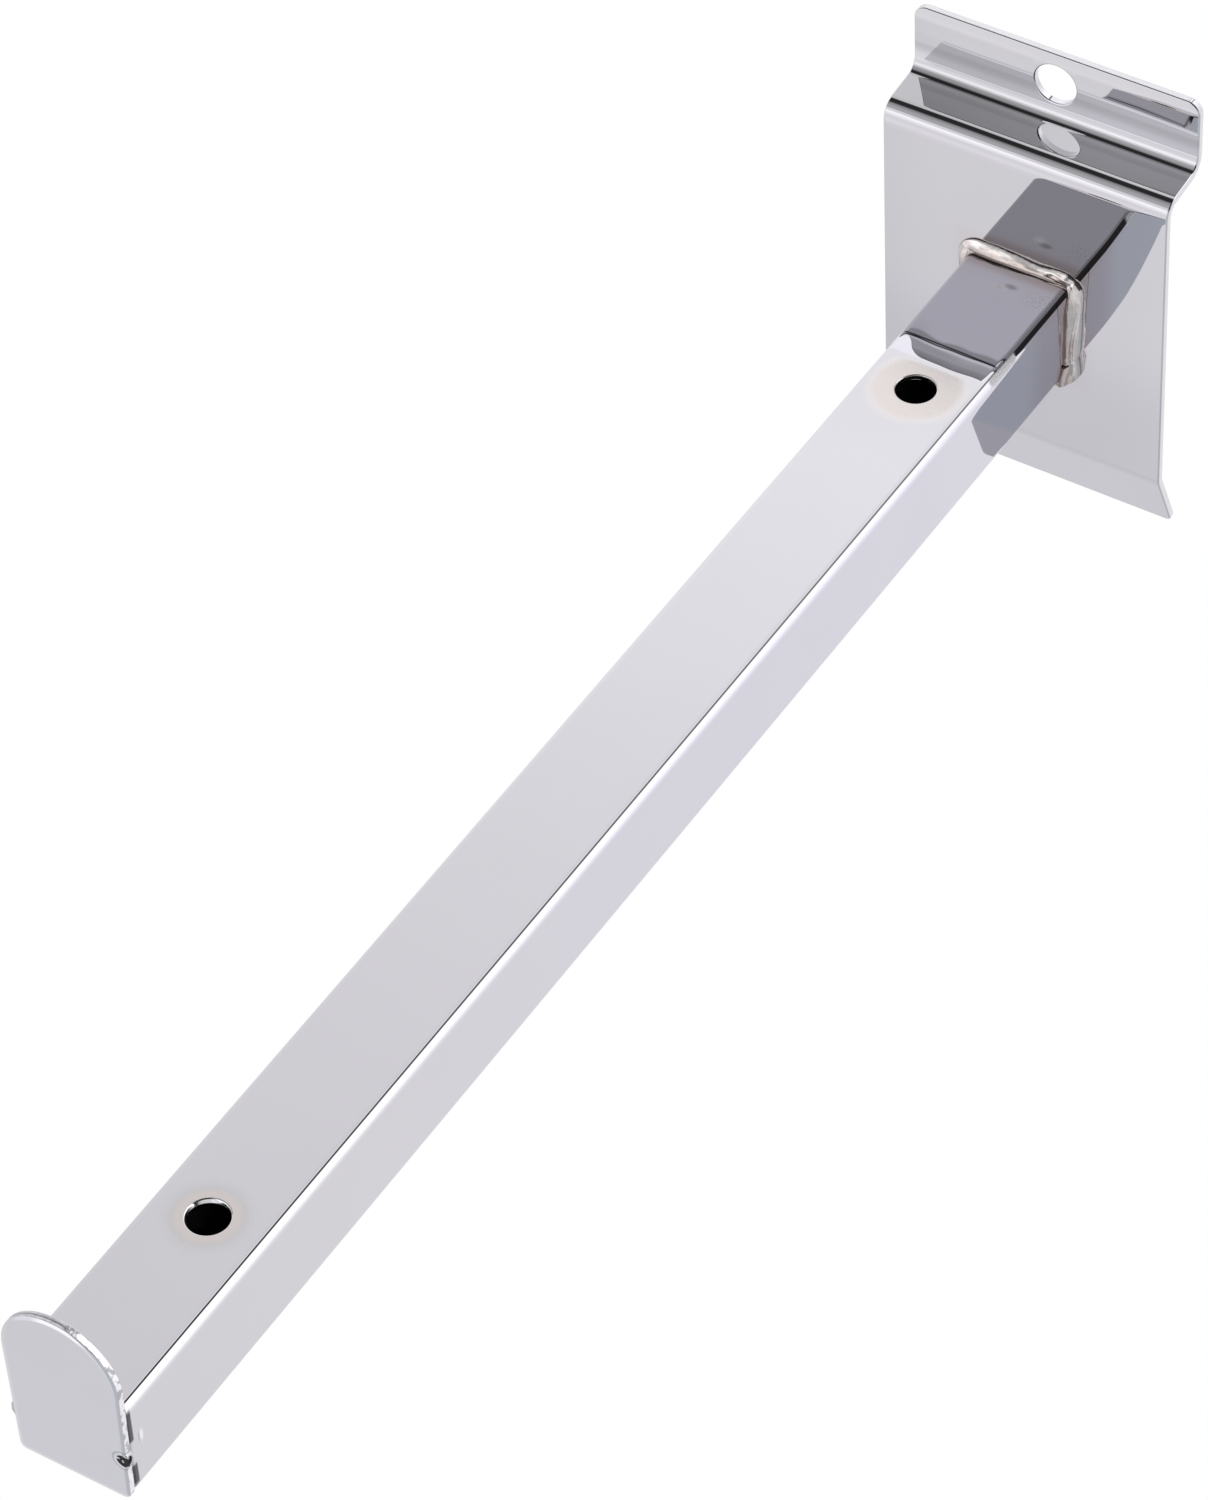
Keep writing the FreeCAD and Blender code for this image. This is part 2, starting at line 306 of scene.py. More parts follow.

# A thin dark line across the arm's top, a painted reflection of the plate's fold: its place
# before it wanders off, how far it wanders, and half its full and its whole width
FOLD_REFLECTION_Y = -25.9
FOLD_REFLECTION_WANDER = 1.0
FOLD_REFLECTION_HALF = (0.12, 0.26)
FOLD_REFLECTION_SIDES = ("wide", 9.2, 8.9)
FOLD_REFLECTION_TINT = (0.16, 0.16, 0.17)

# Where the right edge of the top shines beside that line
EDGE_LIGHT = [
    ("faces x", 0.25, 0.45), ("faces x", 0.98, 0.90), ("y", -21.0, -22.0), ("y", -30.4, -29.4),
]

# Spots: the centre, how much each axis counts, and two distances, all in millimetres. A spot is
# full up to the first distance and gone at the second.
DENT_SPECKLES = ((7.0, -8.6, 10), (1, 1, 1), 0.5, 4.0)
# Painted shade and painted highlight in the dent
DENT_SHADE = ((1.2, -7.6, 10), (0.6, 1.2, 1), 0.2, 1.1)
DENT_LIGHT = ((-0.5, -8.5, 10), (0.7, 1, 1), 0.1, 1.2)
# A painted highlight on the tube's right side beside the stop, over a small raised bump
GLINT_SPOT = ((10, -281.2, 0.7), (1, 1.3, 0.5), 0.2, 0.9)
BEHIND_TACKS = ((0, 0, -1.2), (0, 0, 1), 2.2, 3.0)
# The front hole's wall, brightened as a painted highlight
FRONT_HOLE_WALL = ((0, FRONT_HOLE_Y, 0), (1, 1, 0), 3.8, 3.9)
STOP_SHINE = ((1.0, 0, 24), (1, 0, 1), 2.5, 5.5)

# Painted shade in the gap between tube and stop, and the tube's raw inside
CREVICE = [("y", -282.7, -283.0), ("high", 9.0, 7.6)]
TUBE_INSIDE = ("out", 8.86, 8.82)

# Sheared edges: how far the plate's surface looks to the side or up, and the stop's to the front
PLATE_SHEARED = (0.96, 0.995)
PLATE_TOP = ("z", 47.6, 47.9)
PLATE_SHEARED_COLOUR = (0.76, 0.76, 0.78)
STOP_SHEARED = (0.5, 0.2)
STOP_ROLLED = ((0.985, 0.96), (0.5, 0.8))
# The stop's sheared edge: a painted reflection from dark on the left to bright on the right, torn
# patches, and a dark line in its left half
STOP_EDGE_LEFT = (0.60, 0.60, 0.62)
STOP_EDGE_RIGHT = (0.97, 0.96, 0.98)
STOP_EDGE_LEFT_TO_RIGHT = ("x", -1, 6)
STOP_EDGE_TORN = (0.50, 0.50, 0.52)
STOP_EDGE_LINE = [("y", -285.0, -284.85), ("y", -284.5, -284.65), ("x", 3, 1)]
STOP_EDGE_LINE_COLOUR = (0.30, 0.30, 0.32)
# The stop's face, brightened as painted light
STOP_FACE_TINT = (1.03, 1.04, 1.06)

# The right tack's crater: its centre, its ring's colour, and the radii of ring, mound and pits
CRATER_CENTRE = (9.7, -285.3, TACK_MIDDLE_Z)
CRATER_RING_COLOUR = (0.50, 0.50, 0.52)
CRATER_RING_OUTER = (1.95, 2.15)
CRATER_RING_INNER = (1.6, 1.85)
CRATER_MOUND = (1.2, 1.9)
CRATER_PITS = (1.15, 1.35)
CRATER_BLACK = (0.004, 0.004, 0.004)


def put_in_scene(name, data):
    thing = bpy.data.objects.new(name, data)
    bpy.context.scene.collection.objects.link(thing)
    return thing


def place_camera():
    azimuth, elevation = CAMERA_AZIMUTH, CAMERA_ELEVATION
    back = Vector((
        math.sin(azimuth) * math.cos(elevation),
        -math.cos(azimuth) * math.cos(elevation),
        math.sin(elevation),
    ))
    right = Vector((math.cos(azimuth), math.sin(azimuth), 0))
    up = back.cross(right)
    turned_right = right * math.cos(CAMERA_ROLL) + up * math.sin(CAMERA_ROLL)
    turned_up = back.cross(turned_right)
    camera_data = bpy.data.cameras.new("camera")
    camera_data.lens = CAMERA_LENS
    camera_data.sensor_width = CAMERA_SENSOR
    camera_data.clip_end = CAMERA_REACH
    camera = put_in_scene("camera", camera_data)
    turn = Matrix((turned_right, turned_up, back)).transposed().to_4x4()
    camera.matrix_world = Matrix.Translation(CAMERA_PLACE) @ turn
    bpy.context.scene.camera = camera


def rgba(colour):
    """The colour with an alpha, or as it is where it is another node's output."""
    return colour if isinstance(colour, bpy.types.NodeSocket) else (*colour, 1)


class Shader:
    """Adds nodes to one shader tree. A value is a number, a tuple or another node's output."""

    def __init__(self, owner):
        owner.use_nodes = True
        self.tree = owner.node_tree
        self.tree.nodes.clear()

    def add(self, kind, inputs=None, output=0, **settings):
        node = self.tree.nodes.new(kind)
        for name, value in settings.items():
            setattr(node, name, value)
        for name, value in (inputs or {}).items():
            if isinstance(value, bpy.types.NodeSocket):
                self.tree.links.new(value, node.inputs[name])
            else:
                node.inputs[name].default_value = value
        return node.outputs[output] if output is not None else node

    def math(self, operation, *values):
        return self.add("ShaderNodeMath", dict(enumerate(values)), operation=operation)

    def product(self, first, *others):
        for other in others:
            first = self.math("MULTIPLY", first, other)
        return first

    def vector(self, operation, *values, output=0):
        inputs = dict(enumerate(values))
        return self.add("ShaderNodeVectorMath", inputs, output=output, operation=operation)

    def dot(self, vector, axis):
        return self.vector("DOT_PRODUCT", vector, axis, output="Value")

    def smooth(self, value, low, high):
        """0 up to low, 1 from high on and a smooth step between; low may be the larger one."""
        return self.add(
            "ShaderNodeMapRange",
            {"Value": value, "From Min": low, "From Max": high},
            interpolation_type="SMOOTHSTEP",
        )

    def mix(self, factor, first, second):
        """A mix of two numbers."""
        return self.add("ShaderNodeMix", {"Factor": factor, "A": first, "B": second})

    def mix_colour(self, factor, first, second, **settings):
        inputs = {0: factor, 6: rgba(first), 7: rgba(second)}
        return self.add("ShaderNodeMix", inputs, output=2, data_type="RGBA", **settings)

    def light(self, kind, colour, strength):
        return self.add(kind, {"Color": rgba(colour), "Strength": strength})

    def end(self, kind, surface):
        self.add(kind, {"Surface": surface}, output=None)

    def seen_white(self, surface, white):
        """The white one to the camera and the surface to all else."""
        seen = self.add("ShaderNodeLightPath", output="Is Camera Ray")
        return self.add("ShaderNodeMixShader", {0: seen, 1: surface, 2: white})


def light_profile(shader, turn, levels):
    """The levels as a ramp over turn, which runs from 0 to 1 round the half circle and back."""
    node = shader.add("ShaderNodeValToRGB", {"Fac": turn}, output=None)
    ramp = node.color_ramp
    for index, (angle, level) in enumerate(levels):
        place = angle / 360 + 0.5
        element = ramp.elements[0] if index == 0 else ramp.elements.new(place)
        element.position = place
        element.color = (level, level, level, 1)
    last = ramp.elements[len(ramp.elements) - 1]
    last.position = 1
    last.color = ramp.elements[0].color
    return node.outputs["Color"]


def light_studio():
    """A light tent that is white to the camera, with a dark gap overhead and round the camera."""
    world = bpy.data.worlds.new("studio")
    bpy.context.scene.world = world
    shader = Shader(world)
    direction = shader.add("ShaderNodeTexCoord", output="Generated")
    up = shader.dot(direction, (0, 0, 1))
    front = shader.dot(direction, (0, -1, 0))
    right = shader.dot(direction, (1, 0, 0))
    angle = shader.math("ARCTAN2", up, front)
    turn = shader.math("MULTIPLY_ADD", angle, 0.5 / math.pi, 0.5)
    left_level = light_profile(shader, turn, LEFT_LEVELS)
    right_level = light_profile(shader, turn, RIGHT_LEVELS)
    level = shader.mix(shader.smooth(right, *LEFT_TO_RIGHT), left_level, right_level)
    gap = shader.product(
        shader.smooth(right, *GAP_LEFT_END), shader.smooth(right, *GAP_RIGHT_END),
        shader.smooth(up, *GAP_FOOT),
    )
    gap_level = shader.mix(shader.smooth(up, *GAP_DARK_TOP), *GAP_LEVELS)
    level = shader.mix(gap, level, gap_level)
    floor_right = shader.product(
        shader.smooth(up, *BELOW), shader.smooth(right, *TO_THE_RIGHT),
        shader.smooth(front, *TO_THE_FRONT),
    )
    tint = shader.mix_colour(floor_right, STUDIO_TINT, FLOOR_TINT)
    studio = shader.light("ShaderNodeBackground", tint, level)
    white = shader.light("ShaderNodeBackground", WHITE, 1.0)
    shader.end("ShaderNodeOutputWorld", shader.seen_white(studio, white))


def lay_floor():
    """A pale floor far below, which the camera sees as white; metal reflects the tent instead."""
    mesh = bpy.data.meshes.new("floor")
    half = FLOOR_HALF_WIDTH
    corners = [(-half, -half, 0), (half, -half, 0), (half, half, 0), (-half, half, 0)]
    mesh.from_pydata(corners, [], [(0, 1, 2, 3)])
    floor = put_in_scene("floor", mesh)
    floor.location.z = cad_box[0].z - FLOOR_DROP
    floor.visible_glossy = False
    material = bpy.data.materials.new("floor")
    shader = Shader(material)
    pale = shader.add("ShaderNodeBsdfDiffuse", {"Color": rgba(FLOOR_COLOUR)})
    white = shader.light("ShaderNodeEmission", WHITE, 1.0)
    shader.end("ShaderNodeOutputMaterial", shader.seen_white(pale, white))
    mesh.materials.append(material)


class Chrome:
    """A chrome-plated surface whose colour, roughness and relief depend on the place in space."""

    def __init__(self, name):
        self.material = bpy.data.materials.new(name)
        self.shader = shader = Shader(self.material)
        self.place = shader.add("ShaderNodeTexCoord", output="Object")
        facing = shader.add("ShaderNodeTexCoord", output="Normal")
        self.places = places = {}
        for name, axis in AXES.items():
            places[name] = shader.dot(self.place, axis)
            places["faces " + name] = shader.dot(facing, axis)
        places["wide"] = shader.math("ABSOLUTE", places["x"])
        places["high"] = shader.math("ABSOLUTE", places["z"])
        places["out"] = shader.math("MAXIMUM", places["high"], places["wide"])
        patches = self.noise(60.0)
        self.colour = shader.mix_colour(patches, CHROME_DARK, CHROME_LIGHT)
        self.roughness = shader.mix(patches, *CHROME_ROUGHNESS)
        self.metallic = 1.0
        self.height = shader.product(self.noise(110.0, 0.0), CHROME_WAVE * MM)

    def noise(self, scale, detail=3.0):
        return self.shader.add(
            "ShaderNodeTexNoise", {"Vector": self.place, "Scale": scale, "Detail": detail},
        )

    def torn(self, scale, detail, low, high):
        """Ragged patches: a noise that is cut off below low and above high."""
        return self.shader.smooth(self.noise(scale, detail), low, high)

    def distance(self, centre, spread=(1, 1, 1)):
        """The distance from a point in millimetres, in metres; a spread of 0 leaves an axis out."""
        offset = self.shader.vector("SUBTRACT", self.place, [part * MM for part in centre])
        scaled = self.shader.vector("MULTIPLY", offset, spread)
        return self.shader.vector("LENGTH", scaled, output="Value")

    def within(self, distance, inner, outer):
        """1 up to the inner distance in millimetres, falling to 0 at the outer one."""
        return self.shader.smooth(distance, outer * MM, inner * MM)

    def spot(self, centre, spread, inner, outer):
        return self.within(self.distance(centre, spread), inner, outer)

    def mask(self, *ramps):
        """The product of ramps, as the tables of tints have them."""
        steps = []
        for name, low, high in ramps:
            unit = 1 if name.startswith("faces") else MM
            steps.append(self.shader.smooth(self.places[name], low * unit, high * unit))
        return self.shader.product(*steps)

    def coat(self, mask, colour=None, roughness=None, metallic=None):
        if colour is not None:
            self.colour = self.shader.mix_colour(mask, self.colour, colour)
        if roughness is not None:
            self.roughness = self.shader.mix(mask, self.roughness, roughness)
        if metallic is not None:
            self.metallic = self.shader.mix(mask, self.metallic, metallic)

    def tint(self, mask, colour):
        """Multiplies the colour where the mask is 1."""
        factor = self.shader.mix_colour(mask, WHITE, colour)
        self.colour = self.shader.mix_colour(1.0, self.colour, factor, blend_type="MULTIPLY")

    def tint_all(self, tints):
        for colour, *ramps in tints:
            self.tint(self.mask(*ramps), colour)

    def raise_by(self, mask, height):
        """Adds relief, in millimetres, where the mask is 1."""
        self.height = self.shader.math("MULTIPLY_ADD", mask, height * MM, self.height)

    def finish(self):
        relief = self.shader.add("ShaderNodeBump", {
            "Height": self.height, "Strength": 1.0, "Distance": 1.0,
        })
        surface = self.shader.add("ShaderNodeBsdfPrincipled", {
            "Base Color": self.colour, "Metallic": self.metallic, "Roughness": self.roughness,
            "Normal": relief,
        })
        self.shader.end("ShaderNodeOutputMaterial", surface)
        return self.material


def tube_material():
    """Plating with burnt rings round the holes, a raw inside and heat marks near the welds, and
    painted reflections, highlights and shade.
    """
    coat = Chrome("tube")
    shader = coat.shader
    coat.tint_all(TUBE_HEAT)
    for place, colour, inner, outer in HALOS:
        ring = coat.spot((0, place, 0), (1, 1, 0), inner, outer)
        coat.coat(shader.product(ring, coat.mask(ON_FACES, HALO_END)), colour, HALO_ROUGHNESS)
    # Painted reflection of the plate: darker near the weld, with a lighter strip at its end
    coat.tint_all(PLATE_REFLECTION_TINTS)
    # Painted reflection of the plate's fold: a dark line across the top
    painted_fold_reflection(coat)
    coat.coat(coat.mask(*EDGE_LIGHT), WHITE, 0.4, 0.15)
    coat.tint_all(TUBE_TINTS)
    dent(coat)
    # Painted highlight over a small raised bump
    glint_spot = coat.spot(*GLINT_SPOT)
    coat.tint(glint_spot, (1.36, 1.36, 1.36))
    coat.raise_by(glint_spot, 0.16)
    # Painted shade where the tube meets the stop, except behind the tacks
    beside_tacks = shader.math("SUBTRACT", 1.0, coat.spot(*BEHIND_TACKS))
    coat.coat(shader.product(coat.mask(*CREVICE), beside_tacks), (0.12, 0.12, 0.13), 0.4)
    # Painted highlight: the front hole's wall brightened to near white
    wear_and_painted_light = shader.product(coat.spot(*FRONT_HOLE_WALL), coat.mask(("faces z", 0.92, 0.85)))
    coat.coat(wear_and_painted_light, (0.99, 0.99, 0.99), 0.12)
    coat.coat(coat.mask(TUBE_INSIDE), (0.16, 0.16, 0.15), 0.6, 0.0)
    return coat.finish()


def painted_fold_reflection(coat):
    """The wandering dark line across the arm's top: a painted reflection of the plate's fold."""
    shader = coat.shader
    wave = shader.math(
        "MULTIPLY_ADD", coat.noise(70.0, 0.0), FOLD_REFLECTION_WANDER * MM, -FOLD_REFLECTION_Y * MM,
    )
    away = shader.math("ABSOLUTE", shader.math("ADD", coat.places["y"], wave))
    on_top = coat.mask(ON_FACES, FOLD_REFLECTION_SIDES)
    coat.tint(shader.product(coat.within(away, *FOLD_REFLECTION_HALF), on_top), FOLD_REFLECTION_TINT)


def dent(coat):
    """Burnt speckles round the small dent in the tube's top beside the weld, with a painted shade
    and a painted highlight in the dent.
    """
    shader = coat.shader
    speckles = shader.product(coat.spot(*DENT_SPECKLES), coat.torn(2600.0, 1.0, 0.55, 0.62))
    coat.tint(speckles, (0.80, 0.78, 0.77))
    coat.tint(coat.spot(*DENT_SHADE), (0.62, 0.60, 0.59))
    coat.coat(shader.product(coat.spot(*DENT_LIGHT), 0.7), (0.86, 0.83, 0.83), 0.3, 0.6)


def plate_material():
    """Plating with tints round the weld and the folds, and torn, sheared edges."""
    coat = Chrome("plate")
    shader = coat.shader
    coat.tint_all(PLATE_TINTS)
    aside = shader.math("ABSOLUTE", coat.places["faces x"])
    above = shader.product(coat.places["faces z"], coat.mask(PLATE_TOP))
    sheared = shader.smooth(shader.math("MAXIMUM", aside, above), *PLATE_SHEARED)
    coat.coat(sheared, PLATE_SHEARED_COLOUR, 0.2)
    coat.raise_by(shader.product(sheared, coat.noise(500.0, 2.0)), 0.10)
    return coat.finish()


def stop_material():
    """A flat face brightened as painted light, with a painted highlight on its rolled border, and a
    torn, sheared edge whose colour runs from dark on the left to bright on the right as painted
    reflection.
    """
    coat = Chrome("stop")
    shader = coat.shader
    facing = shader.math("ABSOLUTE", coat.places["faces y"])
    sheared = shader.smooth(facing, *STOP_SHEARED)
    from_left = coat.mask(STOP_EDGE_LEFT_TO_RIGHT)
    # Painted reflection on the sheared edge, dark on the left and bright on the right, with torn
    # patches and a dark line
    wear_and_painted_light = shader.mix_colour(from_left, STOP_EDGE_LEFT, STOP_EDGE_RIGHT)
    wear_and_painted_light = shader.mix_colour(coat.torn(800.0, 2.0, 0.50, 0.62), wear_and_painted_light, STOP_EDGE_TORN)
    wear_and_painted_light = shader.mix_colour(coat.mask(*STOP_EDGE_LINE), wear_and_painted_light, STOP_EDGE_LINE_COLOUR)
    # Painted light: the whole face a little brighter
    coat.tint(1.0, STOP_FACE_TINT)
    coat.colour = shader.mix_colour(sheared, coat.colour, wear_and_painted_light)
    coat.coat(sheared, roughness=0.22)
    # Painted highlight on the rolled border near the top
    rolled = shader.product(*[shader.smooth(facing, low, high) for low, high in STOP_ROLLED])
    coat.tint(shader.product(rolled, coat.spot(*STOP_SHINE)), (1.45, 1.44, 1.42))
    coat.raise_by(shader.product(sheared, coat.noise(700.0, 2.0)), 0.22)
    crater(coat)
    return coat.finish()


def crater(coat):
    """A ring and black pits where the right tack has burnt through the plating."""
    shader = coat.shader
    away = coat.distance(CRATER_CENTRE)
    hollow = shader.smooth(away, *[radius * MM for radius in CRATER_RING_INNER])
    ring = shader.product(coat.within(away, *CRATER_RING_OUTER), hollow)
    coat.coat(ring, CRATER_RING_COLOUR)
    coat.raise_by(coat.within(away, *CRATER_MOUND), 0.10)
    pits = shader.product(coat.within(away, *CRATER_PITS), coat.torn(900.0, 1.0, 0.38, 0.45))
    coat.coat(pits, CRATER_BLACK, 0.7, 0.0)


def weld_material():
    """Plating over rough weld metal, duller and warmer than the flat faces, with painted shade on
    the beads' front strands and in their creases, and painted highlights on their ridges.
    """
    coat = Chrome("weld")
    coat.coat(coat.noise(900.0, 1.0), (0.93, 0.885, 0.85))
    coat.tint(coat.noise(500.0, 1.0), (1.10, 1.05, 1.01))
    coat.tint_all(WELD_TINTS)
    coat.roughness = 0.10
    coat.metallic = 0.92
    coat.raise_by(coat.noise(700.0, 1.0), 0.005)
    crater(coat)
    return coat.finish()


def make_piece(name, points, faces, normals, replaced):
    """A smooth mesh, in millimetres, that stands for a solid, with a normal for each vertex."""
    mesh = bpy.data.meshes.new(name)
    if normals:
        faces = [turned_out(face, points, normals) for face in faces]
    mesh.from_pydata([Vector(point) * MM for point in points], [], faces)
    mesh.validate()
    mesh.shade_smooth()
    if normals:
        mesh.normals_split_custom_set_from_vertices([Vector(n).normalized() for n in normals])
    piece = put_in_scene(name, mesh)
    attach(piece, "root")
    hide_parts(*replaced)
    return piece


def turned_out(face, points, normals):
    """The face with its corners in the order that makes it look the way of its normals."""
    corners = [Vector(points[index]) for index in face]
    facing = Vector((0, 0, 0))
    for before, after in zip(corners, corners[1:] + corners[:1]):
        facing += before.cross(after)
    wanted = sum((Vector(normals[index]) for index in face), Vector((0, 0, 0)))
    return face if facing.dot(wanted) > 0 else face[::-1]


def fold_stations(corners, radii, steps):
    """Stations along a folded line in (y, z): (length, y, z, tangent y, tangent z), with arcs."""
    points = [Vector(corner) for corner in corners]
    length = 0.0
    start = points[0]
    stations = [(length, *start, *(points[1] - start).normalized())]
    for before, corner, after, radius in zip(points, points[1:], points[2:], radii):
        into = (corner - before).normalized()
        out = (after - corner).normalized()
        turn = into.angle_signed(out)
        reach = radius * math.tan(abs(turn) / 2)
        arc_start = corner - into * reach
        length += (arc_start - start).length
        for step in range(steps + 1):
            part = step / steps
            turned = Matrix.Rotation(-turn * part, 2) @ into
            chord = Matrix.Rotation(-turn * part / 2, 2) @ into
            spot = arc_start + chord * (2 * radius * math.sin(abs(turn) * part / 2))
            stations.append((length + radius * abs(turn) * part, *spot, *turned))
        length += radius * abs(turn)
        start = Vector(stations[-1][1:3])
    last = points[-1]
    into = (last - start).normalized()
    stations.append((length + (last - start).length, last.x, last.y, into.x, into.y))
    return stations


class FoldedLine:
    """Takes a length along the sheet's front line to its place and direction in (y, z)."""

    def __init__(self, corners, radii, steps):
        self.stations = fold_stations(corners, radii, steps)
        self.length = self.stations[-1][0]

    @functools.cache
    def at(self, length):
        for low, high in zip(self.stations, self.stations[1:]):
            if length <= high[0] + 1e-9:
                break
        span = high[0] - low[0]
        part = (length - low[0]) / span if span > 1e-9 else 0.0
        mixed = [a + (b - a) * part for a, b in zip(low, high)]
        return Vector(mixed[1:3]), Vector(mixed[3:5]).normalized()

    def place(self, x, length, depth, normal):
        """The point and the normal for sheet coordinates; depth is 0 on the front face."""
        spot, tangent = self.at(length)
        front = Vector((-tangent.y, tangent.x))
        spot = spot - front * depth
        across, along, outward = normal
        turned = tangent * along + front * outward
        return (x, spot.x, spot.y), (across, turned.x, turned.y)


class PlateLine(FoldedLine):
    """The plate's folded line; the faces roll back towards the sheared sides and the step."""

    def __init__(self):
        super().__init__(PLATE_FRONT_LINE, PLATE_FRONT_RADII, PLATE_FOLD_STEPS)
        second_fold = PLATE_FOLD_STEPS + 2
        self.step = self.stations[second_fold][0]

    def place(self, x, length, depth, normal):
        across, along, outward = normal
        if abs(outward) > 0.5:
            across += math.copysign(ROLL_RATE * max(0.0, abs(x) - ROLL_START), x) * outward
            past = length - self.step
            spread = FOLD_ROLL_BEFORE if past < 0 else FOLD_ROLL_AFTER
            along += FOLD_ROLL * outward * max(0.0, 1 - abs(past) / spread) ** 2
            if outward > 0:
                along += between(LIP_TILTS, length - self.length)[0] * outward
        return super().place(x, length, depth, (across, along, outward))


class TubeLine(FoldedLine):
    """The tube's outline in (x, z), from the middle of the left side over the top and round."""

    def __init__(self):
        half = ARM_HALF
        corners = [
            (-half, 0), (-half, half), (half, half), (half, -half), (-half, -half), (-half, 0),
        ]
        super().__init__(corners, [ARM_CORNER] * 4, TUBE_EDGE_STEPS)
        self.top = self.length / 4
        self.edge = self.top + half - ARM_CORNER

    def place(self, y, length, depth, normal):
        length %= self.length
        spot, tangent = self.at(length)
        front = Vector((-tangent.y, tangent.x))
        spot = spot - front * depth
        across, along, outward = normal
        if outward > 0.5 and depth == 0:
            past = length - self.edge
            before = 2 * self.top - self.edge - length
            if 0 < past < EDGE_TURNS[-1][0]:
                angle = math.radians(between(EDGE_TURNS, past)[0])
                front = Vector((math.sin(angle), math.cos(angle)))
            elif 0 < before < LEFT_EDGE_TURNS[-1][0]:
                angle = math.radians(between(LEFT_EDGE_TURNS, before)[0])
                front = Vector((-math.sin(angle), math.cos(angle)))
            if abs(length - self.top) < ARM_HALF:
                wave = noise.noise(Vector((spot.x * 0.22, y * 0.12, 4.0)))
                across += between(PULL_TILTS, y)[0] * (1 + PULL_WAVE / PULL_TILTS[-1][1] * wave)
            elif abs(length - 2 * self.top) < ARM_HALF:
                across += between(SIDE_TILTS, y)[0]
        turned = tangent * along + front * outward
        return (spot.x, y, spot.y), (turned.x, across, turned.y)


def smooth_step(value, low, high):
    part = min(1.0, max(0.0, (value - low) / (high - low)))
    return part * part * (3 - 2 * part)


def between(table, place):
    """The values of the table at a place, read along straight lines between its rows."""
    for low, high in zip(table, table[1:]):
        if place <= high[0]:
            break
    part = min(1.0, max(0.0, (place - low[0]) / (high[0] - low[0])))
    return [a + (b - a) * part for a, b in zip(low[1:], high[1:])]


def nearest(values, wanted):
    return min(range(len(values)), key=lambda index: abs(values[index] - wanted))


def ring_faces(first, second):
    """Faces between two closed loops of as many vertices."""
    count = len(first)
    after = [(index + 1) % count for index in range(count)]
    return [(first[i], first[j], second[j], second[i]) for i, j in enumerate(after)]


def block_half(hole_radius):
    return hole_radius + RIM + BLOCK_MARGIN


def block_places(hole_radius):
    """The places of a block's rows and columns from the hole's middle."""
    half = BLOCK_STEPS // 2
    return [
        block_half(hole_radius) * math.tan(math.pi / 4 * step / half)
        for step in range(-half, half + 1)
    ]


def walk_round(low, first, high, last):
    """The rows and columns round a rectangle of the grid, from its first corner."""
    outline = [(low, column) for column in range(first, last)]
    outline += [(row, last) for row in range(low, high)]
    outline += [(high, column) for column in range(last, first, -1)]
    outline += [(row, first) for row in range(high, low, -1)]
    return outline


def arc_spots(x, length, radius, angles, out=1):
    """Spots along an arc, a rim's width inside the metal: (x, length, out x, out length). out is
    1 on a sheet's corner and -1 round a hole."""
    core = radius - out * RIM
    spots = []
    for angle in angles:
        cosine, sine = math.cos(angle), math.sin(angle)
        spots.append((x + core * cosine, length + core * sine, out * cosine, out * sine))
    return spots


def hole_circle(radius, x, length):
    angles = [math.radians(-135 + 90 * step / BLOCK_STEPS) for step in range(4 * BLOCK_STEPS)]
    return arc_spots(x, length, radius, angles, out=-1)


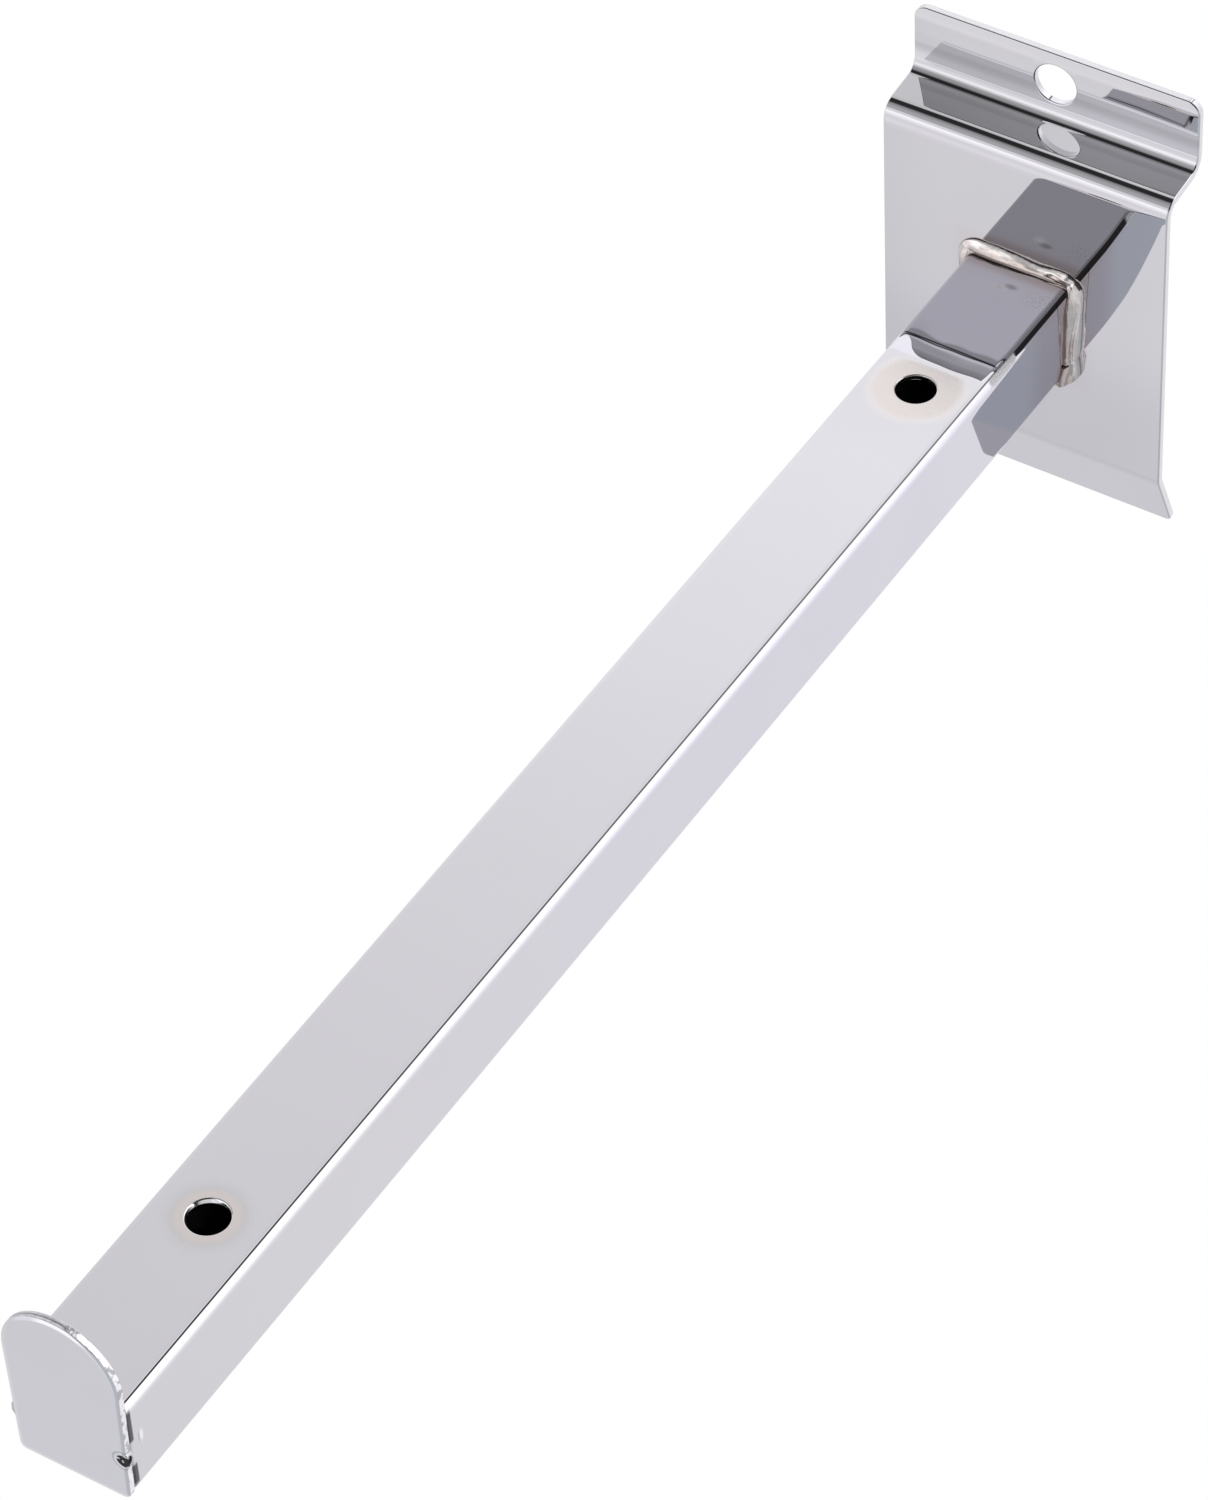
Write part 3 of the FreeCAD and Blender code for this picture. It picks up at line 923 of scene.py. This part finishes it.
class SheetMesh:
    """Collects a sheet's vertices by (across, along, depth) and its faces."""

    def __init__(self, line, thickness):
        self.line = line
        self.thickness = thickness
        self.points = []
        self.normals = []
        self.faces = []

    def vertex(self, x, length, depth, normal):
        point, turned = self.line.place(x, length, depth, normal)
        self.points.append(point)
        self.normals.append(turned)
        return len(self.points) - 1

    def strip(self, first, second):
        self.faces += ring_faces(first, second)

    def cover(self, grid, blocks, closed):
        """Fills the grid with faces, apart from the blocks that hold a hole."""
        count = len(grid)
        for row in range(count if closed else count - 1):
            after = (row + 1) % count
            for column in range(len(grid[row]) - 1):
                if any(
                    low <= row < low + BLOCK_STEPS and first <= column < first + BLOCK_STEPS
                    for low, first in blocks
                ):
                    continue
                self.faces.append((
                    grid[row][column], grid[row][column + 1],
                    grid[after][column + 1], grid[after][column],
                ))

    def bore(self, grid, depth, normal, block, spots):
        """Joins a block's outline to the circle of a hole, and gives the circle."""
        low, first = block
        outline = walk_round(low, first, low + BLOCK_STEPS, first + BLOCK_STEPS)
        circle = [self.vertex(x, length, depth, normal) for x, length, _, _ in spots]
        self.strip([grid[row][column] for row, column in outline], circle)
        return circle

    def lay_faces(self, rows, holes, closed):
        """Lays the front and the rear face over rows of (across, along), with holes, each a block
        and its spots. Gives both grids of vertices, and the two circles of each hole."""
        grids, circles = [], []
        for depth, facing in ((0.0, 1.0), (self.thickness, -1.0)):
            normal = (0, 0, facing)
            grid = [[self.vertex(x, length, depth, normal) for x, length in row] for row in rows]
            self.cover(grid, [block for block, _ in holes], closed)
            circles.append([self.bore(grid, depth, normal, *hole) for hole in holes])
            grids.append(grid)
        return grids, list(zip(*circles))

    def rim(self, front_loop, rear_loop, spots, radius=RIM, flare=90):
        """Joins the two faces' loops by a rounded edge. spots are (x, length, out x, out length).
        The flare is the most that the front edge looks away from the face, in degrees."""
        previous = front_loop
        rings = [(step, False) for step in range(1, RIM_STEPS + 1)]
        rings += [(step, True) for step in range(RIM_STEPS, 0, -1)]
        for step, rear in rings:
            angle = math.pi / 2 * step / RIM_STEPS
            inset = radius * (1 - math.cos(angle))
            depth = self.thickness - inset if rear else inset
            looks = min(angle, math.radians(flare)) if not rear or step == RIM_STEPS else angle
            facing = -math.cos(looks) if rear and step < RIM_STEPS else math.cos(looks)
            ring = [
                self.vertex(
                    x + out_x * radius * math.sin(angle),
                    length + out_length * radius * math.sin(angle),
                    depth, (out_x * math.sin(looks), out_length * math.sin(looks), facing),
                )
                for x, length, out_x, out_length in spots
            ]
            self.strip(previous, ring)
            previous = ring
        self.strip(previous, rear_loop)

    def piece(self, name, replaced, slot_name):
        return make_piece(name, self.points, self.faces, self.normals, [replaced])


def plate_edge_at(length, total):
    """Half the width of the flat inside the rim, and the rim's outward direction, at a length."""
    for corner, centre, sign in (
        (PLATE_TAIL_CORNER, PLATE_TAIL_CORNER, -1), (PLATE_LIP_CORNER, total - PLATE_LIP_CORNER, 1),
    ):
        past = (length - centre) * sign
        if past > 0:
            core = corner - RIM
            sine = min(1.0, past / core)
            cosine = math.sqrt(1 - sine ** 2)
            return PLATE_HALF - corner + core * cosine, (cosine, sign * sine)
    return PLATE_HALF - RIM, (1.0, 0.0)


def plate_rows(line, hole_along, sides):
    """The lengths at which the plate's mesh has a row: folds, corners and the block of the hole."""
    steps = PLATE_CORNER_STEPS
    turns = [math.sin(math.pi / 2 * step / steps) for step in range(steps + 1)]
    tail_core = PLATE_TAIL_CORNER - RIM
    lip_core = PLATE_LIP_CORNER - RIM
    rows = [PLATE_TAIL_CORNER - tail_core * turn for turn in turns]
    rows += [line.length - PLATE_LIP_CORNER + lip_core * turn for turn in turns]
    rows += [station[0] for station in line.stations[1:-1]]
    low, high = PLATE_TAIL_CORNER, line.length - PLATE_LIP_CORNER
    rows += [low + (high - low) * i / PLATE_EVEN_ROWS for i in range(1, PLATE_EVEN_ROWS)]
    rows += [line.step - below for below in PLATE_STEP_ROWS]
    clear = sides[-1] + PLATE_ROW_CLEARANCE
    kept = [hole_along + side for side in sides]
    for row in sorted(row for row in rows if abs(row - hole_along) > clear):
        if all(abs(row - other) > PLATE_ROW_LEAST for other in kept):
            kept.append(row)
    return sorted(kept)


def plate_column(x, length, total):
    """The column's place at a length: near the sides it follows the rounded corners."""
    if abs(x) <= PLATE_FIXED_HALF:
        return x
    half = plate_edge_at(length, total)[0]
    stretch = (half - PLATE_FIXED_HALF) / (PLATE_COLUMNS[0] - PLATE_FIXED_HALF)
    return math.copysign(PLATE_FIXED_HALF + (abs(x) - PLATE_FIXED_HALF) * stretch, x)


def make_back_plate():
    """The folded sheet with finely divided folds and worn rims."""
    line = PlateLine()
    sheet = SheetMesh(line, SHEET)
    hole_along = line.length - LOCK_HOLE_BELOW_TOP
    sides = block_places(LOCK_HOLE_RADIUS)
    rows = plate_rows(line, hole_along, sides)
    columns = [-x for x in PLATE_COLUMNS] + sides + PLATE_COLUMNS[::-1]
    block = rows.index(hole_along + sides[0]), columns.index(sides[0])
    edge = walk_round(0, 0, len(rows) - 1, len(columns) - 1)
    places = [[(plate_column(x, length, line.length), length) for x in columns] for length in rows]
    outline = []
    for row, column in edge:
        x, length = places[row][column]
        out_x, out_length = plate_edge_at(length, line.length)[1]
        outline.append((x, length, -out_x if column == 0 else out_x, out_length))
    around = hole_circle(LOCK_HOLE_RADIUS, 0.0, hole_along)
    grids, circles = sheet.lay_faces(places, [(block, around)], closed=False)
    sheet.rim(*[[grid[row][column] for row, column in edge] for grid in grids], outline)
    sheet.rim(*circles[0], around)
    return sheet.piece("plate_sheet", "back_plate", "plate")


def make_end_stop():
    """The stop, flat but for the front's rolled-off border, with worn rims."""
    line = FoldedLine([(STOP_FRONT_Y, -ARM_HALF), (STOP_FRONT_Y, 30.0)], [], 1)
    sheet = SheetMesh(line, SHEET)
    drop = STOP_HEAD_Z + ARM_HALF
    slope = math.atan2(drop, ARM_HALF) - math.acos(STOP_HEAD_RADIUS / math.hypot(drop, ARM_HALF))
    foot_turn = math.pi / 2 - slope
    foot_x = ARM_HALF - STOP_FOOT_RADIUS / math.tan((math.pi - foot_turn) / 2)
    foot = [-math.pi / 2 + foot_turn * i / STOP_FOOT_STEPS for i in range(STOP_FOOT_STEPS + 1)]
    head_turn = math.pi / 2 + slope
    head = [-slope + head_turn * i / STOP_HEAD_STEPS for i in range(STOP_HEAD_STEPS + 1)]
    spots = arc_spots(foot_x, STOP_FOOT_RADIUS, STOP_FOOT_RADIUS, foot)
    spots += arc_spots(0, drop, STOP_HEAD_RADIUS, head)
    spots += [(-x, length, -out_x, out_length) for x, length, out_x, out_length in spots[-2::-1]]
    lean = math.sin(STOP_LEAN)
    front = [
        sheet.vertex(x, length, 0.0, (out_x * lean, out_length * lean, math.cos(STOP_LEAN)))
        for x, length, out_x, out_length in spots
    ]
    rear = [sheet.vertex(x, length, SHEET, (0, 0, -1)) for x, length, _, _ in spots]
    flat = [
        sheet.vertex(x - out_x * STOP_ROLL, length - out_length * STOP_ROLL, 0.0, (0, 0, 1))
        for x, length, out_x, out_length in spots
    ]
    sheet.strip(flat, front)
    sheet.faces += [tuple(flat), tuple(rear)]
    sheet.rim(front, rear, spots)
    return sheet.piece("stop_sheet", "end_stop", "stop")


def tube_rows(line, sides):
    """The lengths round the tube at which its mesh has a row."""
    rows = []
    for middle in (line.top, 3 * line.top):
        rows += [middle + side for side in sides]
        rows += [middle + side * place for side in (-1, 1) for place in TUBE_FACE_ROWS]
    for side in (0, line.length / 2):
        rows += [side + place for place in TUBE_SIDE_ROWS]
    rows += [station[0] for station in line.stations[1:-1]]
    rows += [line.edge + place for place in TUBE_EDGE_ROWS]
    return sorted({round(row % line.length, 6) for row in rows})


def tube_columns(sides):
    """The places along the arm at which the tube's mesh has a column."""
    front, rear = ARM_FRONT_Y + END_RIM, PLATE_FRONT_Y - END_RIM
    holes = (FRONT_HOLE_Y, REAR_HOLE_Y)
    columns = [front, rear] + [hole + side for hole in holes for side in sides]
    clear = block_half(SCREW_HOLE_RADIUS) + TUBE_HOLE_CLEARANCE
    for step in range(1, TUBE_EVEN_COLUMNS):
        column = front + (rear - front) * step / TUBE_EVEN_COLUMNS
        if column < TUBE_EVEN_UP_TO_Y and all(abs(column - hole) > clear for hole in holes):
            columns.append(column)
    columns += TUBE_WELD_COLUMNS + TUBE_PLATE_REFLECTION_COLUMNS
    return sorted({round(column, 4) for column in columns})


def make_arm():
    """The square tube with its four screw holes, finely divided edges and worn rims."""
    line = TubeLine()
    tube = SheetMesh(line, ARM_WALL)
    sides = block_places(SCREW_HOLE_RADIUS)
    rows = tube_rows(line, sides)
    columns = tube_columns(sides)
    holes = []
    for place in (FRONT_HOLE_Y, REAR_HOLE_Y):
        for middle in (line.top, 3 * line.top):
            block = nearest(rows, middle + sides[0]), nearest(columns, place + sides[0])
            holes.append((block, hole_circle(SCREW_HOLE_RADIUS, place, middle)))
    places = [[(y, length) for y in columns] for length in rows]
    grids, circles = tube.lay_faces(places, holes, closed=True)
    for index, (pair, (_, spots)) in enumerate(zip(circles, holes)):
        tube.rim(*pair, spots, flare=HOLE_FLARE if index == 0 else 90)
    for column, out in ((0, -1.0), (-1, 1.0)):
        spots = [(columns[column], length, out, 0.0) for length in rows]
        tube.rim(*[[row[column] for row in grid] for grid in grids], spots, END_RIM)
    return tube.piece("arm_shell", "arm_tube", "tube")


class WeldBead:
    """A rippled bead in the corner between the tube and the plate, along the tube's outline."""

    def __init__(self, table, side, seed):
        self.table = table
        self.side = side
        self.seed = seed
        self.line = TubeLine()
        self.points = []
        self.faces = []

    def base(self, length):
        """A point of the tube's outline and the outward direction there."""
        straight = ARM_HALF - ARM_CORNER + ARM_CORNER * math.pi / 2 + 2 * (ARM_HALF - ARM_CORNER)
        if length > straight:
            return Vector((ARM_HALF, -ARM_HALF + ARM_CORNER - (length - straight))), Vector((1, 0))
        spot, tangent = self.line.at(self.line.top + length)
        return spot, Vector((-tangent.y, tangent.x))

    def section(self, length, grooved):
        reach, height, hollow = between(self.table, length)
        base, outward = self.base(length)
        end = min(length - self.table[0][0], self.table[-1][0] - length)
        thin = math.sqrt(min(1.0, max(0.02, end / BEAD_END)))
        wide_lumps, fine_lumps = SIDE_LUMPS if grooved else TOP_LUMPS
        loop = []
        for step in range(BEAD_SECTION_STEPS + 1):
            angle = math.pi / 2 * step / BEAD_SECTION_STEPS
            ripple = BEAD_RIPPLE * math.sin(5.2 * (length + 0.8 * math.sin(2 * angle)))
            wide = noise.noise(Vector((length * 0.35, angle * 2.0, self.seed)))
            fine = noise.noise(Vector((length * 0.6, angle * 5.0, self.seed + 7)))
            lump = wide * wide_lumps + fine * fine_lumps
            swell = 1 + (ripple + lump) * math.sin(2 * angle) ** 0.7
            swell -= self.groove(length, angle) if grooved else self.knot(length, angle)
            across = reach * thin * math.cos(angle) ** hollow * swell
            off = height * thin * math.sin(angle) ** hollow * swell
            spot = base + outward * off
            loop.append((spot.x * self.side, PLATE_FRONT_Y - across, spot.y))
        root = base - outward * BEAD_ROOT
        loop.append((root.x * self.side, PLATE_FRONT_Y, root.y))
        loop.append((root.x * self.side, min(PLATE_FRONT_Y, loop[0][1] + 0.3), root.y))
        return loop

    def groove(self, length, angle):
        """The wandering line between a side bead's two strands, and the step above its foot."""
        middle = math.radians(46 + 13 * math.sin((length - 11) * 0.42))
        deep = 0.32 * smooth_step(length, 11.0, 13.0) * smooth_step(length, 26.0, 24.6)
        step = 0.06 * math.exp(-((length - 25.6) / 0.4) ** 2)
        return deep * math.exp(-((angle - middle) / 0.13) ** 2) + step

    def knot(self, length, angle):
        """The gap under the curl of metal at the right end of the top bead."""
        deep = 0.45 * smooth_step(length, 4.6, 6.6) * smooth_step(length, 10.0, 9.0)
        middle = math.radians(28 + 9 * math.sin((length - 4.6) * 1.1))
        return deep * math.exp(-((angle - middle) / 0.12) ** 2)

    def make(self, name, replaced, grooved):
        low, high = self.table[0][0], self.table[-1][0]
        count = round((high - low) / BEAD_STEP)
        rings = []
        for index in range(count + 1):
            start = len(self.points)
            self.points += self.section(low + (high - low) * index / count, grooved)
            rings.append(list(range(start, len(self.points))))
        for before, after in zip(rings, rings[1:]):
            self.faces += ring_faces(before, after)
        self.faces += [tuple(rings[0][::-1]), tuple(rings[-1])]
        if self.side < 0:
            self.faces = [face[::-1] for face in self.faces]
        piece = make_piece(name, self.points, self.faces, None, [replaced])
        piece.data.set_sharp_from_angle(angle=math.radians(60))
        return piece


def tack_point(side, part, angle):
    """A point of the tack, at a part of its radius, with a ragged rim and a rough face."""
    cosine, sine = math.cos(angle), math.sin(angle)
    ragged = 1 + 0.10 * noise.noise(Vector((cosine, sine, 3.0)) * 1.7)
    radius = TACK_RADIUS * part * ragged
    crown = math.exp(-((part - TACK_RING) / 0.22) ** 2)
    rough = 0.20 * noise.noise(Vector((radius * cosine, radius * sine, 9)) * 2.2)
    fall = math.sqrt(max(0.0, 1 - part ** 3))
    height = TACK_HEIGHT * (0.30 + 0.62 * crown + rough) * fall
    y = TACK_MIDDLE_Y + TACK_FLATTENED * radius * cosine
    z = TACK_MIDDLE_Z + radius * sine
    return side * (ARM_HALF + max(0.0, height)), max(y, STOP_FRONT_Y + 0.02), z


def make_tack(side, name, replaced):
    """A flat drop of weld metal with a raised ring and a sunken middle."""
    turns = TACK_TURNS
    points = [
        tack_point(side, ring / TACK_RINGS, 2 * math.pi * turn / turns)
        for ring in range(TACK_RINGS + 1) for turn in range(turns)
    ]
    points += [(side * (ARM_HALF - 0.15), y, z) for _, y, z in points[-turns:]]
    faces = []
    back = len(points) - turns
    for low in range(0, back, turns):
        high = low + turns
        for turn in range(turns):
            following = (turn + 1) % turns
            faces.append((low + turn, high + turn, high + following, low + following))
    faces.append(tuple(range(back, back + turns)))
    if side < 0:
        faces = [face[::-1] for face in faces]
    return make_piece(name, points, faces, None, [replaced])


def dress(name, material):
    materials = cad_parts[name].data.materials
    for index in range(len(materials)):
        materials[index] = material
    if not materials:
        materials.append(material)


def main():
    place_camera()
    light_studio()
    lay_floor()
    bpy.context.scene.view_settings.view_transform = "Standard"
    plate, tube, stop, weld = plate_material(), tube_material(), stop_material(), weld_material()
    slots = {"back_plate": plate, "arm_tube": tube, "end_stop": stop}
    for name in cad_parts:
        dress(name, slots.get(name, weld))
    make_back_plate().data.materials.append(plate)
    make_arm().data.materials.append(tube)
    make_end_stop().data.materials.append(stop)
    for piece in (
        WeldBead(TOP_BEAD, 1, 0.0).make("top_bead", "weld_top", False),
        WeldBead(SIDE_BEAD, 1, 11.0).make("right_bead", "weld_right", True),
        WeldBead(SIDE_BEAD, -1, 23.0).make("left_bead", "weld_left", True),
        make_tack(1, "right_tack", "tack_right"), make_tack(-1, "left_tack", "tack_left"),
    ):
        piece.data.materials.append(weld)


main()
